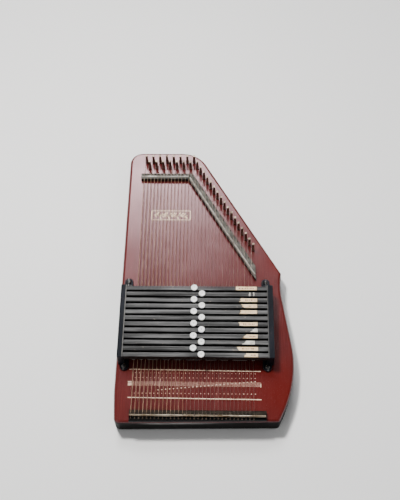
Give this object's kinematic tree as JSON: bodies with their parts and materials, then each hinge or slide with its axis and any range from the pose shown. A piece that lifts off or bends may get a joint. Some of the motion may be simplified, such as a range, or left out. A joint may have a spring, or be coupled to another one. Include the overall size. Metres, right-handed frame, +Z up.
{
  "type": "chorded zither",
  "caption": "Flat maroon chorded zither with wound and plain steel strings, wrest pins on a slanted head, and felted chord bars with white press buttons in two end holders.",
  "frame": {"origin": "centre of the plan outline's box, at the bottom of the feet, with the instrument lying on its back", "axes": "+X from the bass side to the treble side, +Y from the tail to the tuning-pin head, +Z up out of the soundboard"},
  "size_m": [0.2957, 0.5334, 0.0714],
  "materials": {
    "maroon_lacquer": "glossy maroon lacquer, dusty and lightly worn",
    "black_lacquer": "black lacquer",
    "bare_spruce": "bare wood",
    "black_rubber": "matte rubber",
    "steel_rod": "bright steel with light tarnish",
    "steel_small_pins": "dull steel",
    "copper_winding": "tarnished copper winding",
    "plain_steel_wire": "tarnished steel wire",
    "black_enamel": "black enamel worn at its edges",
    "spring_steel": "bright spring wire",
    "blued_steel": "blackened steel",
    "bar_black": "black paint rubbed grey on top",
    "wrest_pin_steel": "dark tarnished steel",
    "button_white": "white plastic",
    "grey_felt": "pressed felt",
    "label_paper": "aged cream paper",
    "guide_strip_wood": "tan hardwood",
    "gold_decal": "worn gold transfer"
  },
  "bodies": {
    "sound_box": {"soundboard": "maroon_lacquer", "back_board": "black_lacquer", "pin_block": "black_lacquer", "side_rails": "black_lacquer", "tail_block": "black_lacquer", "braces": "bare_spruce", "feet": "black_rubber", "head_bridge": "black_lacquer", "tail_bridge": "black_lacquer", "bridge_rods": "steel_rod", "string_pins": "steel_small_pins", "wound_strings": "copper_winding", "plain_strings": "plain_steel_wire", "bar_holders": "black_enamel", "bar_springs": "spring_steel", "holder_screws": "blued_steel"},
    "chord_bar_01": {"chord_bar_01": "bar_black"},
    "chord_bar_02": {"chord_bar_02": "bar_black"},
    "chord_bar_03": {"chord_bar_03": "bar_black"},
    "chord_bar_04": {"chord_bar_04": "bar_black"},
    "chord_bar_05": {"chord_bar_05": "bar_black"},
    "chord_bar_06": {"chord_bar_06": "bar_black"},
    "chord_bar_07": {"chord_bar_07": "bar_black"},
    "chord_bar_08": {"chord_bar_08": "bar_black"},
    "chord_bar_09": {"chord_bar_09": "bar_black"},
    "chord_bar_10": {"chord_bar_10": "bar_black"},
    "chord_bar_11": {"chord_bar_11": "bar_black"},
    "chord_bar_12": {"chord_bar_12": "bar_black"},
    "tuning_pin_01": {"tuning_pin_01": "wrest_pin_steel"},
    "tuning_pin_02": {"tuning_pin_02": "wrest_pin_steel"},
    "tuning_pin_03": {"tuning_pin_03": "wrest_pin_steel"},
    "tuning_pin_04": {"tuning_pin_04": "wrest_pin_steel"},
    "tuning_pin_05": {"tuning_pin_05": "wrest_pin_steel"},
    "tuning_pin_06": {"tuning_pin_06": "wrest_pin_steel"},
    "tuning_pin_07": {"tuning_pin_07": "wrest_pin_steel"},
    "tuning_pin_08": {"tuning_pin_08": "wrest_pin_steel"},
    "tuning_pin_09": {"tuning_pin_09": "wrest_pin_steel"},
    "tuning_pin_10": {"tuning_pin_10": "wrest_pin_steel"},
    "tuning_pin_11": {"tuning_pin_11": "wrest_pin_steel"},
    "tuning_pin_12": {"tuning_pin_12": "wrest_pin_steel"},
    "tuning_pin_13": {"tuning_pin_13": "wrest_pin_steel"},
    "tuning_pin_14": {"tuning_pin_14": "wrest_pin_steel"},
    "tuning_pin_15": {"tuning_pin_15": "wrest_pin_steel"},
    "tuning_pin_16": {"tuning_pin_16": "wrest_pin_steel"},
    "tuning_pin_17": {"tuning_pin_17": "wrest_pin_steel"},
    "tuning_pin_18": {"tuning_pin_18": "wrest_pin_steel"},
    "tuning_pin_19": {"tuning_pin_19": "wrest_pin_steel"},
    "tuning_pin_20": {"tuning_pin_20": "wrest_pin_steel"},
    "tuning_pin_21": {"tuning_pin_21": "wrest_pin_steel"},
    "tuning_pin_22": {"tuning_pin_22": "wrest_pin_steel"},
    "tuning_pin_23": {"tuning_pin_23": "wrest_pin_steel"},
    "tuning_pin_24": {"tuning_pin_24": "wrest_pin_steel"},
    "tuning_pin_25": {"tuning_pin_25": "wrest_pin_steel"},
    "tuning_pin_26": {"tuning_pin_26": "wrest_pin_steel"},
    "tuning_pin_27": {"tuning_pin_27": "wrest_pin_steel"},
    "tuning_pin_28": {"tuning_pin_28": "wrest_pin_steel"},
    "tuning_pin_29": {"tuning_pin_29": "wrest_pin_steel"},
    "tuning_pin_30": {"tuning_pin_30": "wrest_pin_steel"},
    "tuning_pin_31": {"tuning_pin_31": "wrest_pin_steel"},
    "tuning_pin_32": {"tuning_pin_32": "wrest_pin_steel"}
  },
  "joints": [
    {"name": "chord_bar_01_press", "type": "slide", "parent": "sound_box", "child": "chord_bar_01", "axis": [0, 0, -1], "range_m": [0, 0.003], "stiffness_N_per_m": 1500, "springref_m": -0.003, "deforming": ["bar_springs"]},
    {"name": "chord_bar_02_press", "type": "slide", "parent": "sound_box", "child": "chord_bar_02", "axis": [0, 0, -1], "range_m": [0, 0.003], "stiffness_N_per_m": 1500, "springref_m": -0.003, "deforming": ["bar_springs"]},
    {"name": "chord_bar_03_press", "type": "slide", "parent": "sound_box", "child": "chord_bar_03", "axis": [0, 0, -1], "range_m": [0, 0.003], "stiffness_N_per_m": 1500, "springref_m": -0.003, "deforming": ["bar_springs"]},
    {"name": "chord_bar_04_press", "type": "slide", "parent": "sound_box", "child": "chord_bar_04", "axis": [0, 0, -1], "range_m": [0, 0.003], "stiffness_N_per_m": 1500, "springref_m": -0.003, "deforming": ["bar_springs"]},
    {"name": "chord_bar_05_press", "type": "slide", "parent": "sound_box", "child": "chord_bar_05", "axis": [0, 0, -1], "range_m": [0, 0.003], "stiffness_N_per_m": 1500, "springref_m": -0.003, "deforming": ["bar_springs"]},
    {"name": "chord_bar_06_press", "type": "slide", "parent": "sound_box", "child": "chord_bar_06", "axis": [0, 0, -1], "range_m": [0, 0.003], "stiffness_N_per_m": 1500, "springref_m": -0.003, "deforming": ["bar_springs"]},
    {"name": "chord_bar_07_press", "type": "slide", "parent": "sound_box", "child": "chord_bar_07", "axis": [0, 0, -1], "range_m": [0, 0.003], "stiffness_N_per_m": 1500, "springref_m": -0.003, "deforming": ["bar_springs"]},
    {"name": "chord_bar_08_press", "type": "slide", "parent": "sound_box", "child": "chord_bar_08", "axis": [0, 0, -1], "range_m": [0, 0.003], "stiffness_N_per_m": 1500, "springref_m": -0.003, "deforming": ["bar_springs"]},
    {"name": "chord_bar_09_press", "type": "slide", "parent": "sound_box", "child": "chord_bar_09", "axis": [0, 0, -1], "range_m": [0, 0.003], "stiffness_N_per_m": 1500, "springref_m": -0.003, "deforming": ["bar_springs"]},
    {"name": "chord_bar_10_press", "type": "slide", "parent": "sound_box", "child": "chord_bar_10", "axis": [0, 0, -1], "range_m": [0, 0.003], "stiffness_N_per_m": 1500, "springref_m": -0.003, "deforming": ["bar_springs"]},
    {"name": "chord_bar_11_press", "type": "slide", "parent": "sound_box", "child": "chord_bar_11", "axis": [0, 0, -1], "range_m": [0, 0.003], "stiffness_N_per_m": 1500, "springref_m": -0.003, "deforming": ["bar_springs"]},
    {"name": "chord_bar_12_press", "type": "slide", "parent": "sound_box", "child": "chord_bar_12", "axis": [0, 0, -1], "range_m": [0, 0.003], "stiffness_N_per_m": 1500, "springref_m": -0.003, "deforming": ["bar_springs"]},
    {"name": "tuning_pin_01_turn", "type": "hinge", "parent": "sound_box", "child": "tuning_pin_01", "pos_m": [-0.11398, 0.24373, 0.038], "axis": [0, 0, 1], "continuous": true},
    {"name": "tuning_pin_02_turn", "type": "hinge", "parent": "sound_box", "child": "tuning_pin_02", "pos_m": [-0.10763, 0.23123, 0.038], "axis": [0, 0, 1], "continuous": true},
    {"name": "tuning_pin_03_turn", "type": "hinge", "parent": "sound_box", "child": "tuning_pin_03", "pos_m": [-0.10128, 0.24373, 0.038], "axis": [0, 0, 1], "continuous": true},
    {"name": "tuning_pin_04_turn", "type": "hinge", "parent": "sound_box", "child": "tuning_pin_04", "pos_m": [-0.09493, 0.23123, 0.038], "axis": [0, 0, 1], "continuous": true},
    {"name": "tuning_pin_05_turn", "type": "hinge", "parent": "sound_box", "child": "tuning_pin_05", "pos_m": [-0.08858, 0.24373, 0.038], "axis": [0, 0, 1], "continuous": true},
    {"name": "tuning_pin_06_turn", "type": "hinge", "parent": "sound_box", "child": "tuning_pin_06", "pos_m": [-0.08223, 0.23123, 0.038], "axis": [0, 0, 1], "continuous": true},
    {"name": "tuning_pin_07_turn", "type": "hinge", "parent": "sound_box", "child": "tuning_pin_07", "pos_m": [-0.07588, 0.24373, 0.038], "axis": [0, 0, 1], "continuous": true},
    {"name": "tuning_pin_08_turn", "type": "hinge", "parent": "sound_box", "child": "tuning_pin_08", "pos_m": [-0.06953, 0.23123, 0.038], "axis": [0, 0, 1], "continuous": true},
    {"name": "tuning_pin_09_turn", "type": "hinge", "parent": "sound_box", "child": "tuning_pin_09", "pos_m": [-0.06318, 0.24373, 0.038], "axis": [0, 0, 1], "continuous": true},
    {"name": "tuning_pin_10_turn", "type": "hinge", "parent": "sound_box", "child": "tuning_pin_10", "pos_m": [-0.05683, 0.23123, 0.038], "axis": [0, 0, 1], "continuous": true},
    {"name": "tuning_pin_11_turn", "type": "hinge", "parent": "sound_box", "child": "tuning_pin_11", "pos_m": [-0.05048, 0.24373, 0.038], "axis": [0, 0, 1], "continuous": true},
    {"name": "tuning_pin_12_turn", "type": "hinge", "parent": "sound_box", "child": "tuning_pin_12", "pos_m": [-0.04413, 0.23123, 0.038], "axis": [0, 0, 1], "continuous": true},
    {"name": "tuning_pin_13_turn", "type": "hinge", "parent": "sound_box", "child": "tuning_pin_13", "pos_m": [-0.03778, 0.24373, 0.038], "axis": [0, 0, 1], "continuous": true},
    {"name": "tuning_pin_14_turn", "type": "hinge", "parent": "sound_box", "child": "tuning_pin_14", "pos_m": [-0.03143, 0.23123, 0.038], "axis": [0, 0, 1], "continuous": true},
    {"name": "tuning_pin_15_turn", "type": "hinge", "parent": "sound_box", "child": "tuning_pin_15", "pos_m": [-0.02508, 0.24373, 0.038], "axis": [0, 0, 1], "continuous": true},
    {"name": "tuning_pin_16_turn", "type": "hinge", "parent": "sound_box", "child": "tuning_pin_16", "pos_m": [-0.01873, 0.23123, 0.038], "axis": [0, 0, 1], "continuous": true},
    {"name": "tuning_pin_17_turn", "type": "hinge", "parent": "sound_box", "child": "tuning_pin_17", "pos_m": [-0.01238, 0.21871, 0.038], "axis": [0, 0, 1], "continuous": true},
    {"name": "tuning_pin_18_turn", "type": "hinge", "parent": "sound_box", "child": "tuning_pin_18", "pos_m": [-0.00603, 0.20771, 0.038], "axis": [0, 0, 1], "continuous": true},
    {"name": "tuning_pin_19_turn", "type": "hinge", "parent": "sound_box", "child": "tuning_pin_19", "pos_m": [0.00032, 0.19671, 0.038], "axis": [0, 0, 1], "continuous": true},
    {"name": "tuning_pin_20_turn", "type": "hinge", "parent": "sound_box", "child": "tuning_pin_20", "pos_m": [0.00667, 0.18571, 0.038], "axis": [0, 0, 1], "continuous": true},
    {"name": "tuning_pin_21_turn", "type": "hinge", "parent": "sound_box", "child": "tuning_pin_21", "pos_m": [0.01302, 0.17471, 0.038], "axis": [0, 0, 1], "continuous": true},
    {"name": "tuning_pin_22_turn", "type": "hinge", "parent": "sound_box", "child": "tuning_pin_22", "pos_m": [0.01937, 0.16371, 0.038], "axis": [0, 0, 1], "continuous": true},
    {"name": "tuning_pin_23_turn", "type": "hinge", "parent": "sound_box", "child": "tuning_pin_23", "pos_m": [0.02572, 0.15272, 0.038], "axis": [0, 0, 1], "continuous": true},
    {"name": "tuning_pin_24_turn", "type": "hinge", "parent": "sound_box", "child": "tuning_pin_24", "pos_m": [0.03207, 0.14172, 0.038], "axis": [0, 0, 1], "continuous": true},
    {"name": "tuning_pin_25_turn", "type": "hinge", "parent": "sound_box", "child": "tuning_pin_25", "pos_m": [0.03842, 0.13072, 0.038], "axis": [0, 0, 1], "continuous": true},
    {"name": "tuning_pin_26_turn", "type": "hinge", "parent": "sound_box", "child": "tuning_pin_26", "pos_m": [0.04477, 0.11972, 0.038], "axis": [0, 0, 1], "continuous": true},
    {"name": "tuning_pin_27_turn", "type": "hinge", "parent": "sound_box", "child": "tuning_pin_27", "pos_m": [0.05112, 0.10872, 0.038], "axis": [0, 0, 1], "continuous": true},
    {"name": "tuning_pin_28_turn", "type": "hinge", "parent": "sound_box", "child": "tuning_pin_28", "pos_m": [0.05747, 0.09772, 0.038], "axis": [0, 0, 1], "continuous": true},
    {"name": "tuning_pin_29_turn", "type": "hinge", "parent": "sound_box", "child": "tuning_pin_29", "pos_m": [0.06382, 0.08672, 0.038], "axis": [0, 0, 1], "continuous": true},
    {"name": "tuning_pin_30_turn", "type": "hinge", "parent": "sound_box", "child": "tuning_pin_30", "pos_m": [0.07017, 0.07573, 0.038], "axis": [0, 0, 1], "continuous": true},
    {"name": "tuning_pin_31_turn", "type": "hinge", "parent": "sound_box", "child": "tuning_pin_31", "pos_m": [0.07652, 0.06473, 0.038], "axis": [0, 0, 1], "continuous": true},
    {"name": "tuning_pin_32_turn", "type": "hinge", "parent": "sound_box", "child": "tuning_pin_32", "pos_m": [0.08287, 0.05373, 0.038], "axis": [0, 0, 1], "continuous": true}
  ]
}
